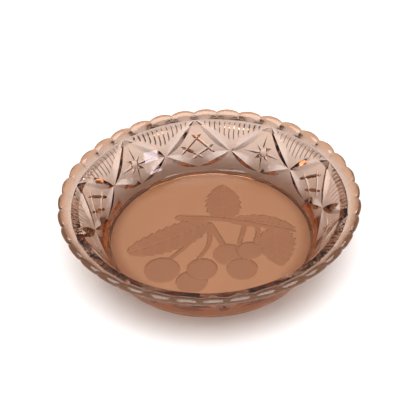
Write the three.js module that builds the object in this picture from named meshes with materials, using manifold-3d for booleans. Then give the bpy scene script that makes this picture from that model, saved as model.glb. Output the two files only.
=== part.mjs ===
// Shallow candy dish of pressed pink glass: a round scalloped rim, a many-sided wall with a lattice
// of mitre cuts, stars and cross-hatching in its diamonds, ribbed fans under the rim, and cherries
// in the frosted base. Millimetres, +Z up, the foot on z = 0, one of the diamonds at the back (+Y).
import * as THREE from "three";
import { mergeVertices } from "three/addons/utils/BufferGeometryUtils.js";
import Module from "manifold-3d";

// Overall sizes.
const ACROSS_RIM = 175;
const HEIGHT = 37.5;
const WALL = 4;
const SIDES = 10;

// Rim: a rounded lip on a flared band, its edge in shallow scallops.
const SCALLOPS = 36;
const SCALLOP_BULGE = 1.6;
const SCALLOP_RISE = 1.9;
const STEPS_PER_SCALLOP = 5;
const LIP_THICK = 5.4;
const RIM_BAND = 4.9;
const RIM_BAND_DROP = 3.4;
const RIM_ROUNDNESS = 0.9;

// Base: a foot that spreads upwards round a level panel, whose underside is frosted.
const PANEL_RADIUS = 60;
const PANEL_THICK = 4.6;
const FOOT_WIDTH = 7;
const FOOT_HEIGHT = 6;
const FOOT_SPREAD = 3.8;
const FOOT_DEPTH = 1.2;
const FLOOR_MARGIN = 7;
const GAP = 0.3;

// Cut pattern on the outside of the wall.
const CROSSING = 0.4;
const MOTIF = 0.47;
const MITRE_WIDTH = 6.4;
const MITRE_DEPTH = 1.9;
const RIBS_PER_FAN = 12;
const RIBBED_SHARE = 0.8;
const RIB_WIDTH = 1.7;
const RIB_DEPTH = 0.7;
const STAR_BUTTON = 3;
const STAR_CUT_WIDTH = 2.8;
const STAR_CUT_DEPTH = 1.2;
const HATCH_WIDTH = 1.9;
const HATCH_DEPTH = 0.9;

// Cherry sprig sunk into the underside of the panel, laid out on a panel of radius SPRIG_PANEL.
const SPRIG_PANEL = 60;
const RELIEF = 0.7;
const CHERRY = 9;
const CHERRY_DEPTH = 1.3;
// Cherries as [x, y, radius].
const CHERRIES = [
  [-31, -25, CHERRY * 1.15],
  [-15, -37, CHERRY],
  [-8, -27.5, CHERRY],
  [8.5, -17.5, CHERRY],
  [15, -30.5, CHERRY],
  [21.5, -16, CHERRY * 0.85],
];

const RIM_RADIUS = ACROSS_RIM / 2 - SCALLOP_BULGE;
const SECTOR = (2 * Math.PI) / SIDES;
const BACK = Math.PI / 2;
const TOP = HEIGHT - SCALLOP_RISE;
const FLOOR = FOOT_DEPTH + PANEL_THICK;
const FOOT_RADIUS = PANEL_RADIUS + FOOT_WIDTH;
const FLOOR_RADIUS = PANEL_RADIUS - FLOOR_MARGIN;
const SPRIG_SCALE = PANEL_RADIUS / SPRIG_PANEL;

const wasm = await Module();
wasm.setup();

// Meridian of the outside of the wall, from the top of the foot to the underside of the rim band.
const wallLow = new THREE.Vector2(FOOT_RADIUS, FOOT_HEIGHT);
const wallHigh = new THREE.Vector2(RIM_RADIUS - RIM_BAND, TOP - RIM_BAND_DROP);
const wallBow = new THREE.Vector2(
  THREE.MathUtils.lerp(wallLow.x, wallHigh.x, 0.32),
  THREE.MathUtils.lerp(wallLow.y, wallHigh.y, 0.5),
);
const wallCurve = new THREE.QuadraticBezierCurve(wallLow, wallBow, wallHigh);

// Point of the meridian at u, sunk by depth into the glass.
function meridian(u, depth) {
  const p = wallCurve.getPoint(u);
  const t = wallCurve.getTangent(u);
  return new THREE.Vector2(p.x - t.y * depth, p.y + t.x * depth);
}

// Ratio of a decagon's radius at an angle to its radius at the corners; first is one corner's angle.
function decagon(angle, first) {
  const half = SECTOR / 2;
  const turned = THREE.MathUtils.euclideanModulo(angle - first, SECTOR) - half;
  return Math.cos(half) / Math.cos(turned);
}

// Plan of the wall: twenty soft corners at the foot (high = 0), then ten over the diamonds, which
// round off into the circle under the rim band (high = 1).
function plan(angle, high) {
  const over = decagon(angle, BACK);
  const between = decagon(angle, BACK + SECTOR / 2);
  const faceted = THREE.MathUtils.lerp(between, over, (1 + high) / 2);
  return THREE.MathUtils.lerp(faceted, 1, high ** 2 * RIM_ROUNDNESS);
}

// 0 in the notch between two scallops, 1 at the crown of a scallop.
function scallop(angle) {
  const pitch = (2 * Math.PI) / SCALLOPS;
  const part = THREE.MathUtils.euclideanModulo(angle - BACK, pitch) / pitch;
  return Math.sqrt(Math.max(0, 1 - (2 * part - 1) ** 2));
}

function solid(points, faces) {
  const mesh = new wasm.Mesh({
    numProp: 3,
    vertProperties: new Float32Array(points),
    triVerts: new Uint32Array(faces),
  });
  return new wasm.Manifold(mesh);
}

// A solid from a closed three.js geometry.
function solidOf(geometry) {
  geometry.deleteAttribute("normal");
  geometry.deleteAttribute("uv");
  const merged = mergeVertices(geometry, 1e-4);
  return solid(merged.attributes.position.array, merged.index.array);
}

function meshOf(made, name, material) {
  const built = made.getMesh();
  const geometry = new THREE.BufferGeometry();
  geometry.setAttribute("position", new THREE.Float32BufferAttribute(built.vertProperties, 3));
  geometry.setIndex(Array.from(built.triVerts));
  geometry.computeVertexNormals();
  const mesh = new THREE.Mesh(geometry, material);
  mesh.name = name;
  return mesh;
}

// Closed ring of glass from a loop of { r, z, count, high, round, bulge, rise }: count is the number
// of points round it, high its place in the plan, round how far it is turned towards a circle, bulge
// and rise how far it follows the scallops outwards and upwards.
function ringBody(loop) {
  const points = [];
  const faces = [];
  const starts = [];
  for (const { r, z, count, high = 0, round = 0, bulge = 0, rise = 0 } of loop) {
    starts.push(points.length / 3);
    for (let i = 0; i < count; i++) {
      const angle = BACK + (i * 2 * Math.PI) / count;
      const crown = scallop(angle);
      const shape = THREE.MathUtils.lerp(plan(angle, high), 1, round);
      const radius = r * shape + crown * bulge * SCALLOP_BULGE;
      const height = z + crown ** 2 * rise * SCALLOP_RISE;
      points.push(radius * Math.cos(angle), radius * Math.sin(angle), height);
    }
  }
  loop.forEach((ring, j) => {
    const other = (j + 1) % loop.length;
    const n = ring.count;
    const m = loop[other].count;
    const here = (i) => starts[j] + (i % n);
    const there = (i) => starts[other] + (i % m);
    let a = 0;
    let b = 0;
    while (a < n || b < m) {
      if ((a + 1) / n <= (b + 1) / m) {
        faces.push(here(a), here(a + 1), there(b));
        a++;
      } else {
        faces.push(here(a), there(b + 1), there(b));
        b++;
      }
    }
  });
  return solid(points, faces);
}

// Point on the outside of the wall near corner k. across runs from the corner (0) to the middle of
// the side on its left (1) or right (-1); u runs from the foot to the rim band.
function onWall(k, across, u, depth) {
  const angle = BACK + (k + across / 2) * SECTOR;
  const facing = BACK + (k + THREE.MathUtils.clamp(across * 3, -1, 1) * 0.5 * u) * SECTOR;
  const outside = meridian(u, 0);
  const sunk = meridian(u, depth);
  const r = outside.x * plan(angle, u);
  const inset = sunk.x - outside.x;
  return new THREE.Vector3(
    r * Math.cos(angle) + inset * Math.cos(facing),
    r * Math.sin(angle) + inset * Math.sin(facing),
    sunk.y,
  );
}

// Cutter for a V-shaped cut, from stations of { across, u, half }, half being its half width there.
function vCut(k, stations, width, depth) {
  const steepness = (2 * depth) / width;
  const lift = 1;
  const points = [];
  stations.forEach((here, i) => {
    const before = stations[Math.max(i - 1, 0)];
    const after = stations[Math.min(i + 1, stations.length - 1)];
    const along = onWall(k, after.across, after.u, 0).sub(onWall(k, before.across, before.u, 0));
    const top = onWall(k, here.across, here.u, -lift);
    const bottom = onWall(k, here.across, here.u, here.half * steepness);
    const upward = top.clone().sub(bottom);
    const sideways = along.cross(upward).setLength(here.half + lift / steepness);
    points.push(...bottom.toArray());
    points.push(...top.clone().add(sideways).toArray());
    points.push(...top.clone().sub(sideways).toArray());
  });
  const faces = [0, 1, 2];
  for (let i = 0; i < stations.length - 1; i++) {
    for (let edge = 0; edge < 3; edge++) {
      const a = 3 * i + edge;
      const b = 3 * i + ((edge + 1) % 3);
      faces.push(b, a, a + 3, b, a + 3, b + 3);
    }
  }
  const last = points.length / 3 - 3;
  faces.push(last, last + 2, last + 1);
  return solid(points, faces);
}

// Stations of a cut from one [across, u] to another, its width following taper(t).
function stations(from, to, ts, half, taper) {
  return ts.map((t) => ({
    across: THREE.MathUtils.lerp(from[0], to[0], t),
    u: THREE.MathUtils.lerp(from[1], to[1], t),
    half: Math.max(half * taper(t), 0.04),
  }));
}

const lens = (t) => Math.sin(Math.PI * t);
const pointed = (t) => 1 - t;
const blunt = (t) => Math.min(1, 6 * t, 6 * (1 - t));

// The four long mitre cuts round diamond k: from its top and its bottom to both side vertices.
function latticeCuts(k) {
  const ts = [0, 0.3, 0.7, 1];
  const cuts = [];
  for (const side of [-1, 1]) {
    for (const end of [0.02, 0.98]) {
      const path = stations([side * 0.03, end], [side * 0.975, CROSSING], ts, MITRE_WIDTH / 2, lens);
      cuts.push(vCut(k, path, MITRE_WIDTH, MITRE_DEPTH));
    }
  }
  return cuts;
}

// Upright ribs of the fan between corner k and the next, longest in the middle.
function fanCuts(k) {
  const cuts = [];
  for (let i = 0; i < RIBS_PER_FAN; i++) {
    const place = (2 * (i + 0.5) / RIBS_PER_FAN - 1) * RIBBED_SHARE;
    const across = 1 + place;
    const line = CROSSING + Math.abs(place) * (1 - CROSSING);
    const low = Math.min(line + 0.19 * (1 - Math.abs(place)) + 0.02, 0.84);
    const path = stations([across, low], [across, 0.96], [0, 0.5, 1], RIB_WIDTH / 2, lens);
    cuts.push(vCut(k, path, RIB_WIDTH, RIB_DEPTH));
  }
  return cuts;
}

// Star round a button: long points towards the diamond's vertices, short ones between them.
function starCuts(k) {
  const halfDiamond = meridian(CROSSING, 0).x * Math.tan(SECTOR / 2);
  const halfTall = wallLow.distanceTo(wallHigh) / 2;
  const cuts = [];
  for (let i = 0; i < 8; i++) {
    const turn = (i * Math.PI) / 4;
    const reach = i % 2 ? 0.38 : 0.74;
    const width = (Math.cos(turn) * STAR_BUTTON) / halfDiamond;
    const rise = (Math.sin(turn) * STAR_BUTTON) / halfTall / 2;
    const from = [width, MOTIF + rise];
    const to = [Math.cos(turn) * reach * 0.8, MOTIF + Math.sin(turn) * reach * 0.5];
    const path = stations(from, to, [0, 0.5, 1], STAR_CUT_WIDTH / 2, pointed);
    cuts.push(vCut(k, path, STAR_CUT_WIDTH, STAR_CUT_DEPTH));
  }
  return cuts;
}

// Height on the wall at a share of the way up a diamond: 0 its foot, 1 its side vertices, 2 its top.
function diamondHeight(share) {
  return share < 1 ? CROSSING * share : THREE.MathUtils.lerp(CROSSING, 1, share - 1);
}

// Two cuts each way across diamond k, parallel to its edges.
function hatchCuts(k) {
  const ts = [0, 0.17, 0.83, 1];
  const cuts = [];
  for (const side of [-1, 1]) {
    for (const row of [0.36, 0.7]) {
      const at = (along) => [side * (along - row), diamondHeight(along + row)];
      const path = stations(at(0.18), at(0.84), ts, HATCH_WIDTH / 2, blunt);
      cuts.push(vCut(k, path, HATCH_WIDTH, HATCH_DEPTH));
    }
  }
  return cuts;
}

// Wall, rim and foot in one ring of glass.
function wall() {
  const coarse = SIDES * 4;
  const smooth = SIDES * 8;
  const fine = SCALLOPS * STEPS_PER_SCALLOP;
  const bore = PANEL_RADIUS + GAP;
  const loop = [
    { r: bore, z: 0, count: smooth, round: 1 },
    { r: FOOT_RADIUS - FOOT_SPREAD - 0.6, z: 0, count: smooth, round: 1 },
    { r: FOOT_RADIUS - FOOT_SPREAD, z: 0.7, count: smooth, round: 1 },
  ];
  for (const u of [0, CROSSING, 1]) {
    const p = meridian(u, 0);
    loop.push({ r: p.x, z: p.y, count: coarse, high: u });
  }
  // The lip as [distance in from the rim, distance down from its top, bulge, rise].
  const lip = [
    [0.3 * LIP_THICK, 0.5 * LIP_THICK, 0.8, 0.6],
    [0, 0.3 * LIP_THICK, 1, 1],
    [0.25 * LIP_THICK, 0, 0.6, 1],
    [0.7 * LIP_THICK, 0, 0.1, 1],
    [LIP_THICK, 0.16 * LIP_THICK, 0, 0.7],
  ];
  for (const [inside, down, bulge, rise] of lip) {
    loop.push({ r: RIM_RADIUS - inside, z: TOP - down, count: fine, round: 1, bulge, rise });
  }
  for (const u of [1, 0.66, 0.33, 0]) {
    const p = meridian(u, WALL);
    loop.push({ r: p.x, z: p.y, count: smooth, high: u, round: 0.5 });
  }
  loop.push({ r: bore, z: panelEdgeTop() + 0.1, count: smooth, round: 1 });
  const cuts = [];
  for (let k = 0; k < SIDES; k++) {
    cuts.push(...latticeCuts(k), ...fanCuts(k), ...(k % 2 ? starCuts(k) : hatchCuts(k)));
  }
  return ringBody(loop).subtract(wasm.Manifold.union(cuts));
}

// Height at which the inside of the wall meets the edge of the panel.
function panelEdgeTop() {
  return THREE.MathUtils.lerp(FLOOR, meridian(0, WALL).y, 0.35);
}

// Leaf with a toothed edge, from its stalk end to its tip.
function leafShape(from, to, halfWidth, teeth) {
  const start = new THREE.Vector2(...from);
  const run = new THREE.Vector2(...to).sub(start);
  const side = new THREE.Vector2(-run.y, run.x).normalize();
  const edge = (t, sign) => {
    const bite = Math.round(t * teeth * 2) % 2 ? 0.88 : 1;
    const wide = halfWidth * Math.sin(Math.PI * t ** 0.85) ** 0.7 * bite * sign;
    return start.clone().addScaledVector(run, t).addScaledVector(side, wide);
  };
  const steps = teeth * 2;
  const outline = [start];
  for (let i = 1; i < steps; i++) outline.push(edge(i / steps, 1));
  outline.push(start.clone().add(run));
  for (let i = steps - 1; i > 0; i--) outline.push(edge(i / steps, -1));
  return new THREE.Shape(outline);
}

// Stem along a curve through points, tapering from one width to another.
function stemShape(through, wideStart, wideEnd) {
  const curve = new THREE.SplineCurve(through.map((p) => new THREE.Vector2(...p)));
  const steps = 8;
  const left = [];
  const right = [];
  for (let i = 0; i <= steps; i++) {
    const t = i / steps;
    const p = curve.getPoint(t);
    const d = curve.getTangent(t);
    const half = THREE.MathUtils.lerp(wideStart, wideEnd, t) / 2;
    left.push(new THREE.Vector2(p.x - d.y * half, p.y + d.x * half));
    right.unshift(new THREE.Vector2(p.x + d.y * half, p.y - d.x * half));
  }
  return new THREE.Shape([...left, ...right]);
}

// Cutter that sinks a flat outline into the underside of the panel.
function sunk(shape, depth) {
  const cutter = new THREE.ExtrudeGeometry(shape, { depth: depth + 1, bevelEnabled: false });
  cutter.scale(SPRIG_SCALE, SPRIG_SCALE, 1);
  cutter.translate(0, 0, FOOT_DEPTH - 1);
  return solidOf(cutter);
}

// Cutter for one cherry: the cap of a sphere, deepest in its middle.
function cherry([x, y, radius]) {
  const bottom = FOOT_DEPTH - 1;
  const steps = 5;
  const profile = [new THREE.Vector2(0, bottom), new THREE.Vector2(radius, bottom)];
  for (let i = 0; i < steps; i++) {
    const turn = (i / steps) * (Math.PI / 2);
    const r = radius * Math.cos(turn);
    profile.push(new THREE.Vector2(r, FOOT_DEPTH + CHERRY_DEPTH * Math.sin(turn)));
  }
  profile.push(new THREE.Vector2(0, FOOT_DEPTH + CHERRY_DEPTH));
  const cutter = new THREE.LatheGeometry(profile, 32);
  cutter.rotateX(Math.PI / 2);
  cutter.translate(x, y, 0);
  cutter.scale(SPRIG_SCALE, SPRIG_SCALE, 1);
  return solidOf(cutter);
}

// Sprig: three leaves on a slanting twig, and the stalks of the cherries that hang from it.
function sprig() {
  const fork = [1, 10];
  const shapes = [
    [leafShape([10, 12], [13, 47], 12, 7), RELIEF],
    [leafShape([0, 13], [-50, -8], 11.5, 10), RELIEF],
    [leafShape([41, 4], [38, -32], 12, 8), RELIEF],
    [leafShape([13, 12], [52, -1], 6.5, 6), RELIEF],
    [stemShape([[-17, 19], [10, 13.5], [51, -3]], 5, 1.4), RELIEF * 1.3],
    [stemShape([fork, [-12, -4], [-25, -16]], 3, 2.4), RELIEF],
    [stemShape([fork, [-2, -8], [-10, -20]], 3, 2.4), RELIEF],
    [stemShape([fork, [4, 0], [7, -10]], 4, 3.2), RELIEF],
    [stemShape([[22, 8], [20, 1], [16, -10]], 3, 2.6), RELIEF],
    [stemShape([[29, 6], [29, 0], [26, -9]], 2.8, 2.4), RELIEF],
  ];
  return shapes.map(([shape, depth]) => sunk(shape, depth));
}

// Round panel in the middle of the dish: level floor above, sprig of cherries sunk in below.
function panel() {
  const edge = new THREE.Vector2(PANEL_RADIUS, panelEdgeTop());
  const sweep = new THREE.QuadraticBezierCurve(
    edge,
    new THREE.Vector2(PANEL_RADIUS - 3, FLOOR),
    new THREE.Vector2(FLOOR_RADIUS, FLOOR),
  );
  const profile = [
    new THREE.Vector2(0, FOOT_DEPTH),
    new THREE.Vector2(PANEL_RADIUS, FOOT_DEPTH),
    ...sweep.getPoints(5),
    new THREE.Vector2(0, FLOOR),
  ];
  const disc = new THREE.LatheGeometry(profile, 120);
  disc.rotateX(Math.PI / 2);
  const cuts = [...sprig(), ...CHERRIES.map(cherry)];
  return solidOf(disc).subtract(wasm.Manifold.union(cuts));
}

const clearGlass = new THREE.MeshStandardMaterial({
  color: new THREE.Color(0.83, 0.6, 0.5),
  roughness: 0.08,
  metalness: 0,
  transparent: true,
  opacity: 0.55,
});
const frostedGlass = new THREE.MeshStandardMaterial({
  color: new THREE.Color(0.78, 0.57, 0.44),
  roughness: 0.6,
  metalness: 0,
  transparent: true,
  opacity: 0.85,
});

const dish = new THREE.Group();
dish.add(meshOf(wall(), "bowl_wall", clearGlass));
dish.add(meshOf(panel(), "base_panel", frostedGlass));

export default dish;
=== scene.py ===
"""Pressed pink glass candy dish: one closed body of glass with its cut pattern, frosted base and
cherry sprig as real geometry, on a pale floor under soft studio light. Metres, frame from the CAD."""
import math

import bmesh
import bpy
import numpy as np
from mathutils import Matrix, Vector


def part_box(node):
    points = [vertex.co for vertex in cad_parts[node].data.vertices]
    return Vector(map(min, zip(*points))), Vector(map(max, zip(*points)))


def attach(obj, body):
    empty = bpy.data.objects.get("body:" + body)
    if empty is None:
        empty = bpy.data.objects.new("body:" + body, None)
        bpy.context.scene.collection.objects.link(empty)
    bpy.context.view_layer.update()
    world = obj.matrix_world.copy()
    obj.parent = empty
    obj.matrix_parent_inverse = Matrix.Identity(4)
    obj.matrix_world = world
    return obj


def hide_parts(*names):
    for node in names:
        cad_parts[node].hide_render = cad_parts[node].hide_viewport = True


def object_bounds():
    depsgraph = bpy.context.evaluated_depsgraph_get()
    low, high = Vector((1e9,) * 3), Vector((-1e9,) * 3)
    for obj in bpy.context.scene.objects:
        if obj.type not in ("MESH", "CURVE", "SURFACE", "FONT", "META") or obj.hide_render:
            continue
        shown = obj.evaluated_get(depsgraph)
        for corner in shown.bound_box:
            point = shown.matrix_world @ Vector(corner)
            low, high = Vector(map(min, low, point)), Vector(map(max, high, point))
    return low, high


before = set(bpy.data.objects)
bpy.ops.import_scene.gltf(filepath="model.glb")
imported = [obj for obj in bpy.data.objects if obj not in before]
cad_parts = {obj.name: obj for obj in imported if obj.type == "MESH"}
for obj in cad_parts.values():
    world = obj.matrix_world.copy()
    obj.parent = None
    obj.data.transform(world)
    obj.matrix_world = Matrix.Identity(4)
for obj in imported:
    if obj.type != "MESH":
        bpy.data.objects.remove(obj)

MM = 0.001

# Sizes of the dish in millimetres, its radius and height taken from the CAD frame.
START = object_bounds()
HEIGHT = START[1].z / MM
SCALLOP_BULGE = 1.6
SCALLOP_RISE = 1.4
RIM_RADIUS = START[1].x / MM - SCALLOP_BULGE
SIDES = 10
SECTOR = 2 * math.pi / SIDES
BACK = math.pi / 2
PANEL_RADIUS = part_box("base_panel")[1].x / MM
PANEL_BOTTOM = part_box("base_panel")[0].z / MM
PANEL_THICK = 4.6
WALL = 4.0
SCALLOPS = 36
LIP_THICK = 5.4
RIM_BAND = 4.9
RIM_BAND_DROP = 3.4
RIM_ROUNDNESS = 0.9
FOOT_RADIUS = PANEL_RADIUS + 7.0
FOOT_HEIGHT = 6.0
FOOT_SPREAD = 3.8
FLOOR_RADIUS = 53.0
TOP = HEIGHT - SCALLOP_RISE
FLOOR = PANEL_BOTTOM + PANEL_THICK
GRID = 180  # cells across the underside; four times as many points go round every ring
AROUND = 4 * GRID

# The cut pattern: u runs up the wall, 0 at the foot and 1 under the rim band.
# MITRE, RIB, STAR_CUT and HATCH are each a cut's (width, depth). Places across a side run from 0 at
# a corner to 1 halfway along the side.
CROSSING = 0.4
MOTIF = 0.47
MITRE = (6.6, 1.95)
MITRE_ENDS = (0.02, 0.98)  # u where the cuts meet at a corner, below and above a diamond
MITRE_ACROSS = (0.03, 0.975)
RIB = (1.7, 0.75)
RIBS_PER_FAN = 12
RIBBED_SHARE = 0.8
RIB_CLEAR = (0.19, 0.02)  # u from the diamonds' edges to a rib, in the middle of a fan and at its ends
RIB_LAST_START = 0.84
RIB_TOP = 0.96
STAR_CUT = (3.0, 1.3)
STAR_REACH = (0.76, 0.4)  # of a long and a short stroke
STAR_SPREAD = (0.8, 0.5)
STAR_ROOT = (0.11, 0.09)
STAR_BUTTON = 3.0
STAR_BUTTON_DEPTH = 1.1
HATCH = (2.0, 0.95)
HATCH_ROWS = (0.36, 0.7)
HATCH_SPAN = (0.18, 0.84)
BALL_ROWS = 28
BALL_COLS = 48

WALL_LOW = np.array([FOOT_RADIUS, FOOT_HEIGHT])
WALL_HIGH = np.array([RIM_RADIUS - RIM_BAND, TOP - RIM_BAND_DROP])
WALL_BOW = WALL_LOW + (WALL_HIGH - WALL_LOW) * np.array([0.32, 0.5])


def meridian(u, depth=0.0):
    """Point (r, z) on the outside of the wall at u, sunk by depth into the glass."""
    p = (1 - u) ** 2 * WALL_LOW + 2 * u * (1 - u) * WALL_BOW + u * u * WALL_HIGH
    t = 2 * (1 - u) * (WALL_BOW - WALL_LOW) + 2 * u * (WALL_HIGH - WALL_BOW)
    t = t / np.linalg.norm(t)
    return p + depth * np.array([-t[1], t[0]])


def decagon(angle, first, soft):
    """A decagon's radius at an angle over its radius at the corners, which soft rounds (radians)."""
    half = SECTOR / 2
    total = 0.0
    for turn in np.linspace(-soft, soft, 9):
        across = np.mod(angle + turn - first, SECTOR) - half
        total = total + math.cos(half) / np.cos(across)
    return total / 9


def plan(angle, high, soft=0.0):
    """Plan of the wall: twenty soft corners at the foot (high 0), then ten over the diamonds, which
    round off into the circle under the rim band (high 1)."""
    over = decagon(angle, BACK, soft)
    between = decagon(angle, BACK + SECTOR / 2, soft)
    faceted = between + (over - between) * (1 + high) / 2
    return faceted + (1 - faceted) * high**2 * RIM_ROUNDNESS


def scallop(angle):
    """0 in the notch between two scallops, 1 at a scallop's crown."""
    pitch = 2 * math.pi / SCALLOPS
    part = np.mod(angle - BACK, pitch) / pitch
    return np.sqrt(np.maximum(0.0, 1 - (2 * part - 1) ** 2))


def smooth_step(x):
    x = np.clip(x, 0.0, 1.0)
    return x * x * (3 - 2 * x)


def spline(points, per_span):
    """Catmull-Rom curve through points, per_span samples to each span."""
    p = np.array(points, float)
    p = np.vstack([2 * p[0] - p[1], p, 2 * p[-1] - p[-2]])
    out = []
    for i in range(1, len(p) - 2):
        for t in np.arange(per_span) / per_span:
            a, b, c, d = p[i - 1 : i + 3]
            out.append(
                0.5 * (2 * b + (c - a) * t + (2 * a - 5 * b + 4 * c - d) * t**2
                       + (3 * b - a - 3 * c + d) * t**3)
            )
    out.append(p[-2])
    return np.array(out)


# --- The cherry sprig, as a depth in millimetres over the underside -------------------------------

CHERRIES = [(-31, -25, 10.4), (-15, -37, 9), (-8, -27.5, 9), (8.5, -17.5, 9), (15, -30.5, 9),
            (21.5, -16, 7.6)]
CHERRY_DEPTH = 1.25
LEAF_DEPTH = 0.55
# Leaves as (stalk end, tip, half width, teeth, bend to the left, bluntness).
LEAVES = [((10, 12), (13, 47), 12.0, 7, 0.0, 0.55), ((0, 13), (-50, -8), 11.5, 10, 2.0, 0.42),
          ((41, 4), (38, -32), 12.5, 8, -1.5, 0.8), ((13, 12), (52, -1), 6.5, 6, 3.0, 0.6)]
FORK = (1, 10)
# Stems as (points, width at the start, width at the end, depth).
STEMS = [
    ([(-17, 19), (10, 13.5), (51, -3)], 5.2, 1.4, 0.95),
    ([FORK, (-12, -4), (-25, -16)], 3.2, 2.4, 0.8),
    ([FORK, (-2, -8), (-10, -20)], 3.2, 2.4, 0.8),
    ([FORK, (4, 0), (7, -10)], 4.4, 3.4, 0.8),
    ([(22, 8), (20, 1), (16, -10)], 3.2, 2.6, 0.8),
    ([(29, 6), (29, 0), (26, -9)], 3.0, 2.4, 0.8),
]


def leaf_depth(x, y, start, tip, half_width, teeth, bend, blunt_power):
    start = np.array(start, float)
    run = np.array(tip, float) - start
    length = np.linalg.norm(run)
    run = run / length
    t = ((x - start[0]) * run[0] + (y - start[1]) * run[1]) / length
    inside = np.clip(t, 0.0, 1.0)
    side = -(x - start[0]) * run[1] + (y - start[1]) * run[0] - bend * 4 * inside * (1 - inside)
    tooth = np.mod(inside * teeth + 0.25 * np.sign(side), 1.0)
    swell = np.maximum(np.sin(math.pi * inside**0.85), 0.0) ** blunt_power
    wide = half_width * swell * (1 - 0.17 * tooth)
    body = smooth_step((wide - np.abs(side)) / 0.7) * ((t > 0) & (t < 1))
    midrib = 0.5 * np.exp(-((side / 0.55) ** 2))
    spacing = length / 6
    along = np.mod((inside * length - 0.75 * np.abs(side)) / spacing, 1.0) - 0.5
    veins = 0.5 * np.exp(-((along * spacing / 0.6) ** 2))
    puffed = 0.25 * np.cos(2 * math.pi * along)
    return body * LEAF_DEPTH * (1.2 - midrib - veins + puffed)


def stem_depth(x, y, points, wide_start, wide_end, depth):
    line = spline(points, 8)
    best = np.zeros_like(x)
    for i, (a, b) in enumerate(zip(line[:-1], line[1:])):
        run = b - a
        t = np.clip(((x - a[0]) * run[0] + (y - a[1]) * run[1]) / (run @ run), 0.0, 1.0)
        away = np.hypot(x - a[0] - t * run[0], y - a[1] - t * run[1])
        half = (wide_start + (wide_end - wide_start) * i / len(line)) / 2
        best = np.maximum(best, depth * np.sqrt(np.clip(1 - (away / half) ** 2, 0.0, 1.0)))
    return best


def sprig_depth(x, y):
    depth = np.zeros_like(x)
    for leaf in LEAVES:
        depth = np.maximum(depth, leaf_depth(x, y, *leaf))
    for stem in STEMS:
        depth = np.maximum(depth, stem_depth(x, y, *stem))
    for cx, cy, radius in CHERRIES:
        away = np.hypot(x - cx, y - cy) / radius
        cherry = CHERRY_DEPTH * np.clip(1 - away**2, 0.0, 1.0) ** 0.4
        depth = np.where(away < 1, np.maximum(cherry, 0.3 * depth), depth)
    return depth


# --- The body of the dish before cutting ----------------------------------------------------------


def underside():
    """Points of the frosted underside, a square grid drawn out to a disc, and its edge in order."""
    a, b = np.meshgrid(np.linspace(-1, 1, GRID + 1), np.linspace(-1, 1, GRID + 1), indexing="ij")
    wide = np.abs(a) >= np.abs(b)
    r = np.where(wide, a, b)
    safe = np.where(r == 0, 1, r)
    phi = np.where(wide, (math.pi / 4) * b / safe, math.pi / 2 - (math.pi / 4) * a / safe)
    x = PANEL_RADIUS * r * np.cos(phi)
    y = PANEL_RADIUS * r * np.sin(phi)
    fade = smooth_step((PANEL_RADIUS - np.hypot(x, y)) / 3)
    z = PANEL_BOTTOM + sprig_depth(x, y) * fade
    points = np.stack([x, y, z], -1).reshape(-1, 3)
    index = np.arange((GRID + 1) ** 2).reshape(GRID + 1, GRID + 1)
    faces = np.stack([index[:-1, :-1], index[:-1, 1:], index[1:, 1:], index[1:, :-1]], -1)
    loop = np.concatenate([index[-1, :-1], index[::-1, -1][:-1], index[0, ::-1][:-1], index[:-1, 0]])
    turn = np.mod(np.arctan2(points[loop, 1], points[loop, 0]) - BACK, 2 * math.pi)
    place = np.round(turn / (2 * math.pi) * AROUND).astype(int) % AROUND
    return points, faces.reshape(-1, 4), loop[np.argsort(place)]


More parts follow.
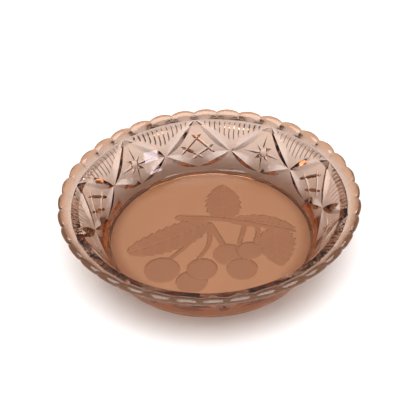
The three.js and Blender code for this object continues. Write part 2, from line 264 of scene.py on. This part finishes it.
def profile():
    """Rings from the edge of the underside, up the outside and over the lip, down to the floor.
    Each is (r, z, high, round, bulge, rise, soft)."""
    rows = [
        (PANEL_RADIUS + 0.5, 0.7, 0, 1, 0, 0, 0),
        (PANEL_RADIUS + 1.0, 0.15, 0, 1, 0, 0, 0),
        (PANEL_RADIUS + 1.5, 0.0, 0, 1, 0, 0, 0),
        (FOOT_RADIUS - FOOT_SPREAD - 0.9, 0.0, 0, 0.9, 0, 0, 0.03),
        (FOOT_RADIUS - FOOT_SPREAD - 0.2, 0.2, 0, 0.9, 0, 0, 0.03),
        (FOOT_RADIUS - FOOT_SPREAD + 0.2, 0.8, 0, 0.8, 0, 0, 0.03),
        (FOOT_RADIUS - 0.35 * FOOT_SPREAD, 0.6 * FOOT_HEIGHT, 0, 0.3, 0, 0, 0.03),
    ]
    for u in np.linspace(0, 1, 8):
        r, z = meridian(u)
        rows.append((r, z, u, 0, 0, 0, 0.03))
    # The lip as (distance in from the rim, distance down from its top, round, bulge, rise).
    lip = [
        (RIM_BAND, RIM_BAND_DROP, 0.0, 0.0, 0.0),
        (0.5 * RIM_BAND, 0.84 * RIM_BAND_DROP, 1.0, 0.6, 0.4),
        (0.14 * LIP_THICK, 0.5 * LIP_THICK, 1.0, 0.95, 0.8),
        (0.0, 0.32 * LIP_THICK, 1.0, 1.0, 1.0),
        (0.07 * LIP_THICK, 0.12 * LIP_THICK, 1.0, 0.8, 1.0),
        (0.27 * LIP_THICK, 0.0, 1.0, 0.4, 1.0),
        (0.5 * LIP_THICK, 0.06 * LIP_THICK, 1.0, 0.1, 0.85),
        (0.75 * LIP_THICK, 0.22 * LIP_THICK, 1.0, 0.0, 0.6),
        (1.1 * LIP_THICK, 0.6 * LIP_THICK, 1.0, 0.0, 0.2),
    ]
    for inside, down, rounded, bulge, rise in spline(lip, 2)[1:]:
        row = (RIM_RADIUS - inside, TOP - down, 1, rounded, max(0.0, bulge), max(0.0, rise), 0.04)
        rows.append(row)
    inner = [meridian(u, WALL) for u in (0.9, 0.75, 0.55, 0.35, 0.15)]
    turned = [(0.35 * FLOOR_RADIUS + 0.65 * inner[-1][0], FLOOR + 0.75), (FLOOR_RADIUS, FLOOR)]
    inner = spline([*inner, *turned], 2)
    for i, (r, z) in enumerate(inner):
        share = i / (len(inner) - 1)
        rows.append((r, z, 1 - share, 0.6 + 0.4 * share, 0, 0, 0.08))
    for r in (0.8, 0.5, 0.2):
        rows.append((FLOOR_RADIUS * r, FLOOR, 0, 1, 0, 0, 0))
    return rows


def ring(r, z, high, rounded, bulge, rise, soft):
    angle = BACK + np.arange(AROUND) * 2 * math.pi / AROUND
    shape = plan(angle, high, soft)
    crown = scallop(angle)
    radius = r * (shape + (1 - shape) * rounded) + crown * bulge * SCALLOP_BULGE
    height = z + crown**2 * rise * SCALLOP_RISE
    return np.stack([radius * np.cos(angle), radius * np.sin(angle), height], -1)


def body_mesh():
    points, faces, edge = underside()
    rings = [ring(*row) for row in profile()]
    start = len(points) + AROUND * np.arange(len(rings))
    loops = [edge] + [s + np.arange(AROUND) for s in start]
    every = [points, *rings, np.array([[0.0, 0.0, FLOOR]])]
    quads = [faces]
    for low, high in zip(loops[:-1], loops[1:]):
        quads.append(np.stack([low, np.roll(low, -1), np.roll(high, -1), high], -1))
    last = loops[-1]
    centre = len(points) + AROUND * len(rings)
    fan = [(int(a), int(b), centre) for a, b in zip(last, np.roll(last, -1))]
    return make_mesh("dish", np.vstack(every), np.vstack(quads).tolist() + fan)


def make_mesh(name, points, faces):
    """A mesh in metres with its normals facing out."""
    mesh = bpy.data.meshes.new(name)
    mesh.from_pydata((np.asarray(points) * MM).tolist(), [], faces)
    shape = bmesh.new()
    shape.from_mesh(mesh)
    bmesh.ops.recalc_face_normals(shape, faces=shape.faces)
    shape.to_mesh(mesh)
    shape.free()
    return mesh


# --- The cuts ---------------------------------------------------------------------------------


def on_wall(k, across, u, depth):
    """Point on the outside near corner k; across is 0 at the corner and +-1 halfway along a side."""
    angle = BACK + (k + across / 2) * SECTOR
    facing = BACK + (k + max(-1.0, min(1.0, 3 * across)) * 0.5 * u) * SECTOR
    outside = meridian(u)
    sunk = meridian(u, depth)
    r = outside[0] * float(plan(angle, u, 0.03))
    inset = sunk[0] - outside[0]
    x = r * math.cos(angle) + inset * math.cos(facing)
    y = r * math.sin(angle) + inset * math.sin(facing)
    return np.array([x, y, sunk[1]])


def v_cut(k, start, end, width, depth, taper, steps):
    """Closed cutter for a V cut on the wall from start to end, each (across, u)."""
    steep = 2 * depth / width
    lift = 1.0
    ts = np.linspace(0, 1, steps + 1)
    path = [np.array(start) + (np.array(end) - np.array(start)) * t for t in ts]
    points = []
    for i, (across, u) in enumerate(path):
        before, after = path[max(i - 1, 0)], path[min(i + 1, steps)]
        half = max(width / 2 * taper(ts[i]), 0.03)
        top = on_wall(k, across, u, -lift)
        bottom = on_wall(k, across, u, half * steep)
        along = on_wall(k, *after, 0) - on_wall(k, *before, 0)
        side = np.cross(along, top - bottom)
        side *= (half + lift / steep) / np.linalg.norm(side)
        points += [bottom, top + side, top - side]
    faces = [(0, 1, 2), (3 * steps, 3 * steps + 2, 3 * steps + 1)]
    for i in range(steps):
        for edge in range(3):
            a, b = 3 * i + edge, 3 * i + (edge + 1) % 3
            faces.append((b, a, a + 3, b + 3))
    return points, faces


def lens(t):
    return math.sin(math.pi * t) ** 0.85


def blunt(t):
    return min(1.0, 6 * t, 6 * (1 - t)) ** 0.6


def pointed(t):
    return min(1 - t, 3 * t + 0.6)


def dimple(k):
    """Cutter for the round button in the middle of a star: a shallow ball-shaped hollow."""
    depth = STAR_BUTTON_DEPTH
    ball = (STAR_BUTTON**2 + depth**2) / (2 * depth)
    centre = on_wall(k, 0, MOTIF, -(ball - depth))
    points = [centre + (0, 0, ball)]
    rows, cols = BALL_ROWS, BALL_COLS
    for i in range(1, rows):
        tilt = math.pi * i / rows
        for j in range(cols):
            turn = 2 * math.pi * j / cols
            flat = np.array([math.cos(turn), math.sin(turn), 0]) * math.sin(tilt)
            points.append(centre + ball * (flat + (0, 0, math.cos(tilt))))
    points.append(centre - (0, 0, ball))
    faces = [(0, 1 + j, 1 + (j + 1) % cols) for j in range(cols)]
    for i in range(rows - 2):
        for j in range(cols):
            a = 1 + i * cols + j
            b = 1 + i * cols + (j + 1) % cols
            faces.append((a, a + cols, b + cols, b))
    last = 1 + (rows - 2) * cols
    faces += [(last + (j + 1) % cols, last + j, len(points) - 1) for j in range(cols)]
    return points, faces


def diamond_height(share):
    """u at a share of the way up a diamond: 0 its foot, 1 its side vertices, 2 its top."""
    if share < 1:
        return CROSSING * share
    return CROSSING + (1 - CROSSING) * (share - 1)


def cutters():
    """Groups of cutters; no two in a group touch."""
    groups = {}
    for k in range(SIDES):
        for side in (-1, 1):
            for end in MITRE_ENDS:
                near, far = MITRE_ACROSS
                cut = v_cut(k, (side * near, end), (side * far, CROSSING), *MITRE, lens, 14)
                groups.setdefault(f"mitre{side}{end}", []).append(cut)
        for i in range(RIBS_PER_FAN):
            place = (2 * (i + 0.5) / RIBS_PER_FAN - 1) * RIBBED_SHARE
            line = CROSSING + abs(place) * (1 - CROSSING)
            low = min(line + RIB_CLEAR[0] * (1 - abs(place)) + RIB_CLEAR[1], RIB_LAST_START)
            cut = v_cut(k, (1 + place, low), (1 + place, RIB_TOP), *RIB, blunt, 8)
            groups.setdefault("ribs", []).append(cut)
        if k % 2:
            for i in range(8):
                turn = i * math.pi / 4
                across, up = math.cos(turn), math.sin(turn)
                reach = STAR_REACH[i % 2]
                tip = (across * reach * STAR_SPREAD[0], MOTIF + up * reach * STAR_SPREAD[1])
                root = (across * STAR_ROOT[0], MOTIF + up * STAR_ROOT[1])
                cut = v_cut(k, root, tip, *STAR_CUT, pointed, 6)
                groups.setdefault(f"star{i}", []).append(cut)
            groups.setdefault("button", []).append(dimple(k))
        else:
            for side in (-1, 1):
                for row in HATCH_ROWS:
                    first, last = HATCH_SPAN
                    start = (side * (first - row), diamond_height(first + row))
                    end = (side * (last - row), diamond_height(last + row))
                    cut = v_cut(k, start, end, *HATCH, blunt, 12)
                    groups.setdefault(f"hatch{side}", []).append(cut)
    return groups


def cut_body(mesh):
    """The body with every group of cutters taken out of it."""
    body = bpy.data.objects.new("dish_glass", mesh)
    bpy.context.collection.objects.link(body)
    tools = []
    for name, cuts in cutters().items():
        points, faces = [], []
        for own_points, own_faces in cuts:
            faces += [tuple(i + len(points) for i in face) for face in own_faces]
            points += own_points
        tool = bpy.data.objects.new("cut_" + name, make_mesh("cut_" + name, points, faces))
        bpy.context.collection.objects.link(tool)
        tools.append(tool)
        modifier = body.modifiers.new(name, "BOOLEAN")
        modifier.operation = "DIFFERENCE"
        modifier.solver = "MANIFOLD"
        modifier.object = tool
    bpy.context.view_layer.update()
    evaluated = body.evaluated_get(bpy.context.evaluated_depsgraph_get())
    cut = bpy.data.meshes.new_from_object(evaluated)
    body.modifiers.clear()
    body.data = cut
    for tool in tools:
        bpy.data.objects.remove(tool)
    return body


def finish_mesh(body):
    """Smooth shading broken at the cuts' edges, and the marks that the glass material reads: the
    frosting and the painted shade of sprig, lip and wall.
    """
    mesh = body.data
    mesh.shade_smooth()
    mesh.set_sharp_from_angle(angle=math.radians(24))
    count = len(mesh.vertices)
    co = np.empty(3 * count, np.float32)
    mesh.vertices.foreach_get("co", co)
    x, y, z = (co.astype(float).reshape(-1, 3) / MM).T
    under = (np.hypot(x, y) < PANEL_RADIUS + 0.05) & (z < FLOOR - 2)
    frost = under.astype(np.float32)
    depth = sprig_depth(x, y) / LEAF_DEPTH
    # sprig: mask of painted shade in the sunk sprig, darker the deeper it is sunk.
    sunk = 0.55 * smooth_step(2.5 * depth) + 0.45 * np.clip(0.85 * depth, 0.0, 1.0)
    sprig = np.where(under, sunk, 0.0)
    # lip: mask of painted shade, browner towards the rim.
    lip = np.clip((np.hypot(x, y) - RIM_RADIUS + 1.4 * LIP_THICK) / (1.6 * LIP_THICK), 0.0, 1.0)
    # wall: mask of painted shade, rising from the floor's edge out over the wall.
    wall = smooth_step((np.hypot(x, y) - FLOOR_RADIUS) / 6)
    marks = {"frost": frost, "sprig": sprig, "lip": lip, "wall": wall * (1 - frost)}
    for name, values in marks.items():
        layer = mesh.attributes.new(name, "FLOAT", "POINT")
        layer.data.foreach_set("value", values.astype(np.float32))


# --- Materials ------------------------------------------------------------------------------------

CLEAR_TINT = (0.99, 0.95, 0.93, 1)
CLEAR_TINT_DEEP = (0.97, 0.92, 0.89, 1)
# Painted shade: the wall darker and greyer than the floor of the dish, its tone varied by streaks.
WALL_PAINTED_SHADE = (0.68, 0.58, 0.55, 1)
WALL_PAINTED_SHADE_DEEP = (0.6, 0.5, 0.46, 1)
# Painted shade: the lip browner, for light that takes long paths inside it.
LIP_PAINTED_SHADE = (0.5, 0.31, 0.2, 1)
FROST_TINT = (1.0, 0.85, 0.72, 1)
# Painted shade: the sunk sprig darker the deeper it goes.
SPRIG_PAINTED_SHADE = (0.73, 0.52, 0.4, 1)
ABSORB_COLOUR = (0.78, 0.42, 0.08, 1)
ABSORB_DENSITY = 125.0
FROST_SHARE = 0.6  # of the frosted surface that scatters the light back
GLASS_IOR = 1.52
CLEAR_ROUGHNESS = 0.02
FROST_ROUGHNESS = 0.5  # what the frosting adds
GRAIN_ROUGHNESS = 0.12  # the most that the frosting's grain adds to that
STREAK_SCALE = 55.0
GRAIN_SCALE = 1600.0
RIPPLE_SCALE = 90.0
RIPPLE_BUMP = 0.02
RIPPLE_HEIGHT = 0.0004
FLOOR_TINT = (0.9, 0.9, 0.9, 1)
FLOOR_TINT_PALE = (0.93, 0.93, 0.93, 1)
FLOOR_ROUGHNESS = 0.8


class Nodes:
    """Shorthand for building a node tree."""

    def __init__(self, tree):
        self.tree = tree
        self.tree.nodes.clear()

    def add(self, kind, **inputs):
        node = self.tree.nodes.new(kind)
        for key, value in inputs.items():
            self.fill(node.inputs[key.replace("_", " ")], value)
        return node

    def fill(self, socket, value):
        """Link a socket to another node's output, or set it to a constant."""
        if isinstance(value, bpy.types.NodeSocket):
            self.tree.links.new(value, socket)
        else:
            socket.default_value = value

    def mix(self, factor, a, b):
        node = self.tree.nodes.new("ShaderNodeMix")
        node.data_type = "RGBA"
        for index, value in ((0, factor), (6, a), (7, b)):
            self.fill(node.inputs[index], value)
        return node.outputs[2]

    def math(self, operation, a, b):
        node = self.tree.nodes.new("ShaderNodeMath")
        node.operation = operation
        self.fill(node.inputs[0], a)
        self.fill(node.inputs[1], b)
        return node.outputs[0]

    def mark(self, name):
        node = self.tree.nodes.new("ShaderNodeAttribute")
        node.attribute_name = name
        return node.outputs["Fac"]


def glass_material():
    """Pink glass: frosted where the mark frost is 1, with painted shade: darker in the sunk sprig,
    darker and greyer on the wall and browner at the lip."""
    material = bpy.data.materials.new("pink_pressed_glass")
    material.use_nodes = True
    n = Nodes(material.node_tree)
    place = n.add("ShaderNodeTexCoord").outputs["Object"]
    streaks = n.add("ShaderNodeTexNoise", Vector=place, Scale=STREAK_SCALE, Detail=3.0)
    grain = n.add("ShaderNodeTexNoise", Vector=place, Scale=GRAIN_SCALE, Detail=2.0)
    ripple = n.add("ShaderNodeTexNoise", Vector=place, Scale=RIPPLE_SCALE, Detail=1.0)
    frost = n.mark("frost")
    clear = n.mix(streaks.outputs["Fac"], CLEAR_TINT, CLEAR_TINT_DEEP)
    # Painted shade on the wall, its tone varied by the streaks.
    painted_wall_shade = n.mix(streaks.outputs["Fac"], WALL_PAINTED_SHADE, WALL_PAINTED_SHADE_DEEP)
    clear = n.mix(n.mark("wall"), clear, painted_wall_shade)
    # Painted shade at the lip, browner towards the rim.
    clear = n.mix(n.mark("lip"), clear, LIP_PAINTED_SHADE)
    # Frosted tint, with painted shade in the sunk sprig.
    frost_and_sprig_shade = n.mix(n.mark("sprig"), FROST_TINT, SPRIG_PAINTED_SHADE)
    colour = n.mix(frost, clear, frost_and_sprig_shade)
    grainy = n.math("MULTIPLY", frost, grain.outputs["Fac"])
    rough = n.math("ADD", n.math("MULTIPLY", frost, FROST_ROUGHNESS), CLEAR_ROUGHNESS)
    rough = n.math("ADD", rough, n.math("MULTIPLY", grainy, GRAIN_ROUGHNESS))
    bump = n.add("ShaderNodeBump", Strength=RIPPLE_BUMP, Distance=RIPPLE_HEIGHT)
    n.fill(bump.inputs["Height"], ripple.outputs["Fac"])
    shader = n.add("ShaderNodeBsdfPrincipled", Base_Color=colour, Roughness=rough, IOR=GLASS_IOR)
    clearness = n.math("SUBTRACT", 1.0, n.math("MULTIPLY", frost, FROST_SHARE))
    n.fill(shader.inputs["Transmission Weight"], clearness)
    n.fill(shader.inputs["Normal"], bump.outputs["Normal"])
    volume = n.add("ShaderNodeVolumeAbsorption", Color=ABSORB_COLOUR, Density=ABSORB_DENSITY)
    out = n.add("ShaderNodeOutputMaterial", Surface=shader.outputs[0], Volume=volume.outputs[0])
    out.is_active_output = True
    return material


def floor_material():
    material = bpy.data.materials.new("pale_floor")
    material.use_nodes = True
    n = Nodes(material.node_tree)
    place = n.add("ShaderNodeTexCoord").outputs["Object"]
    soft = n.add("ShaderNodeTexNoise", Vector=place, Scale=3.0)
    colour = n.mix(soft.outputs["Fac"], FLOOR_TINT, FLOOR_TINT_PALE)
    shader = n.add("ShaderNodeBsdfPrincipled", Base_Color=colour, Roughness=FLOOR_ROUGHNESS)
    n.add("ShaderNodeOutputMaterial", Surface=shader.outputs[0])
    return material


# --- Floor, light and camera ----------------------------------------------------------------------

# Sizes and places here are in metres. The lights are (place, size, watts, colour).
FLOOR_REACH = 4.0
MIDDLE = (0, 0, 0)
OVERHEAD = ((0, -0.25, 1.5), (1.9, 1.3), 40.0, (0.97, 0.985, 1.0))
SIDE_WINDOW = ((0.92, -0.82, 0.27), (0.24, 0.32), 2.2, (0.88, 0.85, 1.0))
ROOM_COLOUR = (0.94, 0.87, 0.82, 1)
ROOM_STRENGTH = 0.42


def make_floor():
    mesh = bpy.data.meshes.new("floor")
    reach = FLOOR_REACH
    corners = [(-reach, -reach, 0), (reach, -reach, 0), (reach, reach, 0), (-reach, reach, 0)]
    mesh.from_pydata(corners, [], [(0, 1, 2, 3)])
    mesh.materials.append(floor_material())
    floor = bpy.data.objects.new("floor", mesh)
    bpy.context.collection.objects.link(floor)


def area_light(name, place, size, power, colour):
    """Rectangular light that faces the middle of the dish."""
    data = bpy.data.lights.new(name, "AREA")
    data.shape = "RECTANGLE"
    data.size, data.size_y = size
    data.energy = power
    data.color = colour
    light = bpy.data.objects.new(name, data)
    light.location = place
    light.rotation_euler = (Vector(MIDDLE) - Vector(place)).to_track_quat("-Z", "Y").to_euler()
    bpy.context.collection.objects.link(light)


def make_light():
    world = bpy.data.worlds.new("studio")
    world.use_nodes = True
    background = world.node_tree.nodes["Background"]
    background.inputs["Color"].default_value = ROOM_COLOUR
    background.inputs["Strength"].default_value = ROOM_STRENGTH
    bpy.context.scene.world = world
    area_light("overhead", *OVERHEAD)
    area_light("side_window", *SIDE_WINDOW)


CAMERA_ELEVATION = math.radians(39.5)
CAMERA_AZIMUTH = math.radians(5.2)
CAMERA_ROLL = math.radians(2.2)
CAMERA_DISTANCE = 5.8  # in rim radii
CAMERA_LENS = 75.8
CAMERA_SENSOR = 36
AIM_RIGHT = -0.0085  # of the aim from the rim's centre, in rim radii
AIM_UP = -0.091


def make_camera():
    radius = START[1].x
    rim = Vector((0, 0, TOP * MM))
    level = Vector((-math.sin(CAMERA_AZIMUTH), -math.cos(CAMERA_AZIMUTH), 0))
    back = level * math.cos(CAMERA_ELEVATION) + Vector((0, 0, math.sin(CAMERA_ELEVATION)))
    right = Vector((0, 0, 1)).cross(back).normalized()
    up = back.cross(right)
    place = rim + back * radius * CAMERA_DISTANCE
    aim = rim + right * AIM_RIGHT * radius + up * AIM_UP * radius
    back = (place - aim).normalized()
    right = Vector((0, 0, 1)).cross(back).normalized()
    up = back.cross(right)
    turned_right = right * math.cos(CAMERA_ROLL) - up * math.sin(CAMERA_ROLL)
    turned_up = right * math.sin(CAMERA_ROLL) + up * math.cos(CAMERA_ROLL)
    data = bpy.data.cameras.new("camera")
    data.lens = CAMERA_LENS
    data.sensor_width = CAMERA_SENSOR
    data.dof.use_dof = False
    camera = bpy.data.objects.new("camera", data)
    axes = Matrix((turned_right, turned_up, back)).transposed().to_4x4()
    camera.matrix_world = Matrix.Translation(place) @ axes
    bpy.context.collection.objects.link(camera)
    bpy.context.scene.camera = camera


dish = cut_body(body_mesh())
finish_mesh(dish)
dish.data.materials.clear()
dish.data.materials.append(glass_material())
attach(dish, "root")
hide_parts("bowl_wall", "base_panel")
make_floor()
make_light()
make_camera()
bpy.context.scene.view_settings.view_transform = "Standard"
